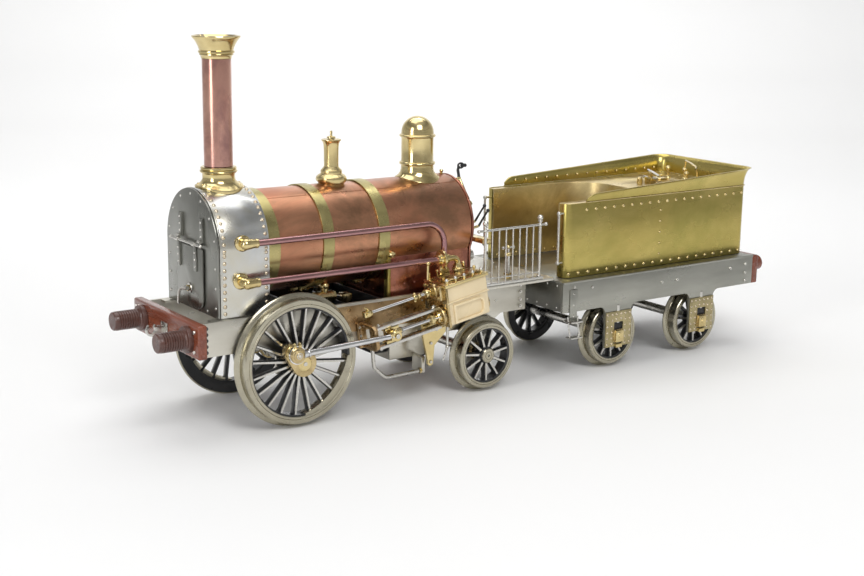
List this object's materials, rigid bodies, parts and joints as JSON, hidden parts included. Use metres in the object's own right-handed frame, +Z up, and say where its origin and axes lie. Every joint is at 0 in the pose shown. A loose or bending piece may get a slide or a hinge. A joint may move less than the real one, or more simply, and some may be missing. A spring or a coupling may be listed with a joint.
{
  "type": "live steam locomotive and tender",
  "caption": "Model steam locomotive with inclined rear cylinders, tall chimney, spoked wheels and a tender with an open coal space.",
  "frame": {"origin": "middle of the overall length over the buffers, on the centre line, at the bottom of the wheel flanges", "axes": "+Z up; +X from the chimney end towards the tender's rear buffers; -Y is the engine's left-hand side"},
  "size_m": [0.759, 0.188, 0.3567],
  "materials": {
    "brass": "brushed and lightly tarnished brass",
    "copper": "polished copper with some tarnish",
    "pipe_copper": "darkened copper pipe",
    "bright_steel": "bright steel, polished along its length",
    "dark_steel": "heat-darkened steel plate",
    "wheel_black": "black painted casting with a bright turned tyre",
    "mahogany": "varnished reddish hardwood",
    "buffer_leather": "dark brown ribbed leather",
    "cream_paint": "cream enamel",
    "black_iron": "black iron"
  },
  "bodies": {
    "engine": {"frame_plate_left": "bright_steel", "buffer_left": "buffer_leather", "cylinder_block_left": "cream_paint", "guide_bars_left": "bright_steel", "steam_pipe_left": "pipe_copper", "exhaust_pipe_left": "pipe_copper", "railing_left": "bright_steel", "frame_plate_right": "bright_steel", "buffer_right": "buffer_leather", "cylinder_block_right": "cream_paint", "guide_bars_right": "bright_steel", "steam_pipe_right": "pipe_copper", "exhaust_pipe_right": "pipe_copper", "railing_right": "bright_steel", "buffer_beam": "mahogany", "draw_hook": "bright_steel", "smokebox_wrapper": "bright_steel", "smokebox_front_plate": "dark_steel", "boiler_barrel": "copper", "boiler_band_front": "brass", "boiler_band_middle": "brass", "boiler_band_rear": "brass", "flue_tube_nest": "copper", "backhead": "copper", "firebox_wrapper": "copper", "ashpan": "bright_steel", "chimney_base": "brass", "chimney_tube": "copper", "chimney_cap": "brass", "safety_valve_column": "brass", "steam_dome": "brass", "footplate_deck": "bright_steel", "drag_beam": "bright_steel"},
    "driving_wheelset": {"driving_axle": "bright_steel", "driving_wheel_left": "wheel_black", "driving_wheel_right": "wheel_black"},
    "connecting_rod_left": {"connecting_rod_left": "bright_steel"},
    "connecting_rod_right": {"connecting_rod_right": "bright_steel"},
    "crosshead_left": {"crosshead_left": "brass", "piston_left": "bright_steel"},
    "crosshead_right": {"crosshead_right": "brass", "piston_right": "bright_steel"},
    "valve_rod_left": {"valve_rod_left": "bright_steel"},
    "valve_rod_right": {"valve_rod_right": "bright_steel"},
    "trailing_wheelset": {"trailing_wheelset": "wheel_black"},
    "smokebox_door": {"smokebox_door": "dark_steel"},
    "door_handle": {"smokebox_door_handle": "bright_steel"},
    "safety_valve_spindle": {"safety_valve_spindle": "brass"},
    "regulator_lever": {"regulator_lever": "black_iron"},
    "reversing_lever": {"reversing_lever": "black_iron"},
    "brake_handle": {"brake_handle": "bright_steel"},
    "tender": {"tender_chassis": "bright_steel", "tender_rear_beam": "mahogany", "tank_wrapper": "brass", "coal_space_lining": "brass", "tank_top_plate": "brass", "tank_coping": "brass"},
    "filler_lid": {"filler_lid": "brass"},
    "tender_wheelset_front": {"tender_wheelset_front": "wheel_black"},
    "tender_wheelset_rear": {"tender_wheelset_rear": "wheel_black"}
  },
  "joints": [
    {"name": "driving_axle_turn", "type": "hinge", "parent": "engine", "child": "driving_wheelset", "pos_m": [-0.2475, 0, 0.0631], "axis": [0, 1, 0], "continuous": true},
    {"name": "connecting_rod_left_pivot", "type": "hinge", "parent": "driving_wheelset", "child": "connecting_rod_left", "pos_m": [-0.26066, -0.089, 0.07538], "axis": [0, 1, 0], "continuous": true},
    {"name": "crosshead_left_slide", "type": "slide", "parent": "engine", "child": "crosshead_left", "axis": [0.9863, 0, 0.165], "range_m": [-0.00609, 0.02991]},
    {"name": "valve_rod_left_slide", "type": "slide", "parent": "engine", "child": "valve_rod_left", "axis": [0.9863, 0, 0.165], "range_m": [-0.004, 0.004]},
    {"name": "connecting_rod_right_pivot", "type": "hinge", "parent": "driving_wheelset", "child": "connecting_rod_right", "pos_m": [-0.23522, 0.089, 0.07626], "axis": [0, 1, 0], "continuous": true},
    {"name": "crosshead_right_slide", "type": "slide", "parent": "engine", "child": "crosshead_right", "axis": [0.9863, 0, 0.165], "range_m": [-0.03172, 0.00428]},
    {"name": "valve_rod_right_slide", "type": "slide", "parent": "engine", "child": "valve_rod_right", "axis": [0.9863, 0, 0.165], "range_m": [-0.004, 0.004]},
    {"name": "trailing_axle_turn", "type": "hinge", "parent": "engine", "child": "trailing_wheelset", "pos_m": [-0.0321, 0, 0.0381], "axis": [0, 1, 0], "continuous": true},
    {"name": "smokebox_door_hinge", "type": "hinge", "parent": "engine", "child": "smokebox_door", "pos_m": [-0.3245, 0, 0.1714], "axis": [0, 1, 0], "range_deg": [0, 100]},
    {"name": "door_handle_turn", "type": "hinge", "parent": "smokebox_door", "child": "door_handle", "pos_m": [-0.3225, 0, 0.1284], "axis": [1, 0, 0], "range_deg": [-60, 60]},
    {"name": "safety_valve_lift", "type": "slide", "parent": "engine", "child": "safety_valve_spindle", "axis": [0, 0, 1], "range_m": [0, 0.0015]},
    {"name": "regulator_turn", "type": "hinge", "parent": "engine", "child": "regulator_lever", "pos_m": [-0.0258, -0.008, 0.1984], "axis": [1, 0, 0], "range_deg": [-45, 45]},
    {"name": "reversing_lever_pivot", "type": "hinge", "parent": "engine", "child": "reversing_lever", "pos_m": [-0.0115, 0.034, 0.1124], "axis": [0, 1, 0], "range_deg": [-15, 15]},
    {"name": "brake_handle_turn", "type": "hinge", "parent": "engine", "child": "brake_handle", "pos_m": [0.0105, -0.05, 0.1357], "axis": [0, 0, 1], "continuous": true},
    {"name": "drawbar_swing", "type": "hinge", "parent": "engine", "child": "tender", "pos_m": [0.0375, 0, 0.0904], "axis": [0, 0, 1], "range_deg": [-3, 3]},
    {"name": "filler_lid_hinge", "type": "hinge", "parent": "tender", "child": "filler_lid", "pos_m": [0.2765, 0.022, 0.1842], "axis": [0, -1, 0], "range_deg": [0, 100]},
    {"name": "tender_front_axle_turn", "type": "hinge", "parent": "tender", "child": "tender_wheelset_front", "pos_m": [0.1371, 0, 0.0375], "axis": [0, 1, 0], "continuous": true},
    {"name": "tender_rear_axle_turn", "type": "hinge", "parent": "tender", "child": "tender_wheelset_rear", "pos_m": [0.2621, 0, 0.0375], "axis": [0, 1, 0], "continuous": true}
  ],
  "couplings": [
    {"joint": "connecting_rod_left_pivot", "follows": "driving_axle_turn", "ratio": -1},
    {"joint": "connecting_rod_right_pivot", "follows": "driving_axle_turn", "ratio": -1}
  ]
}
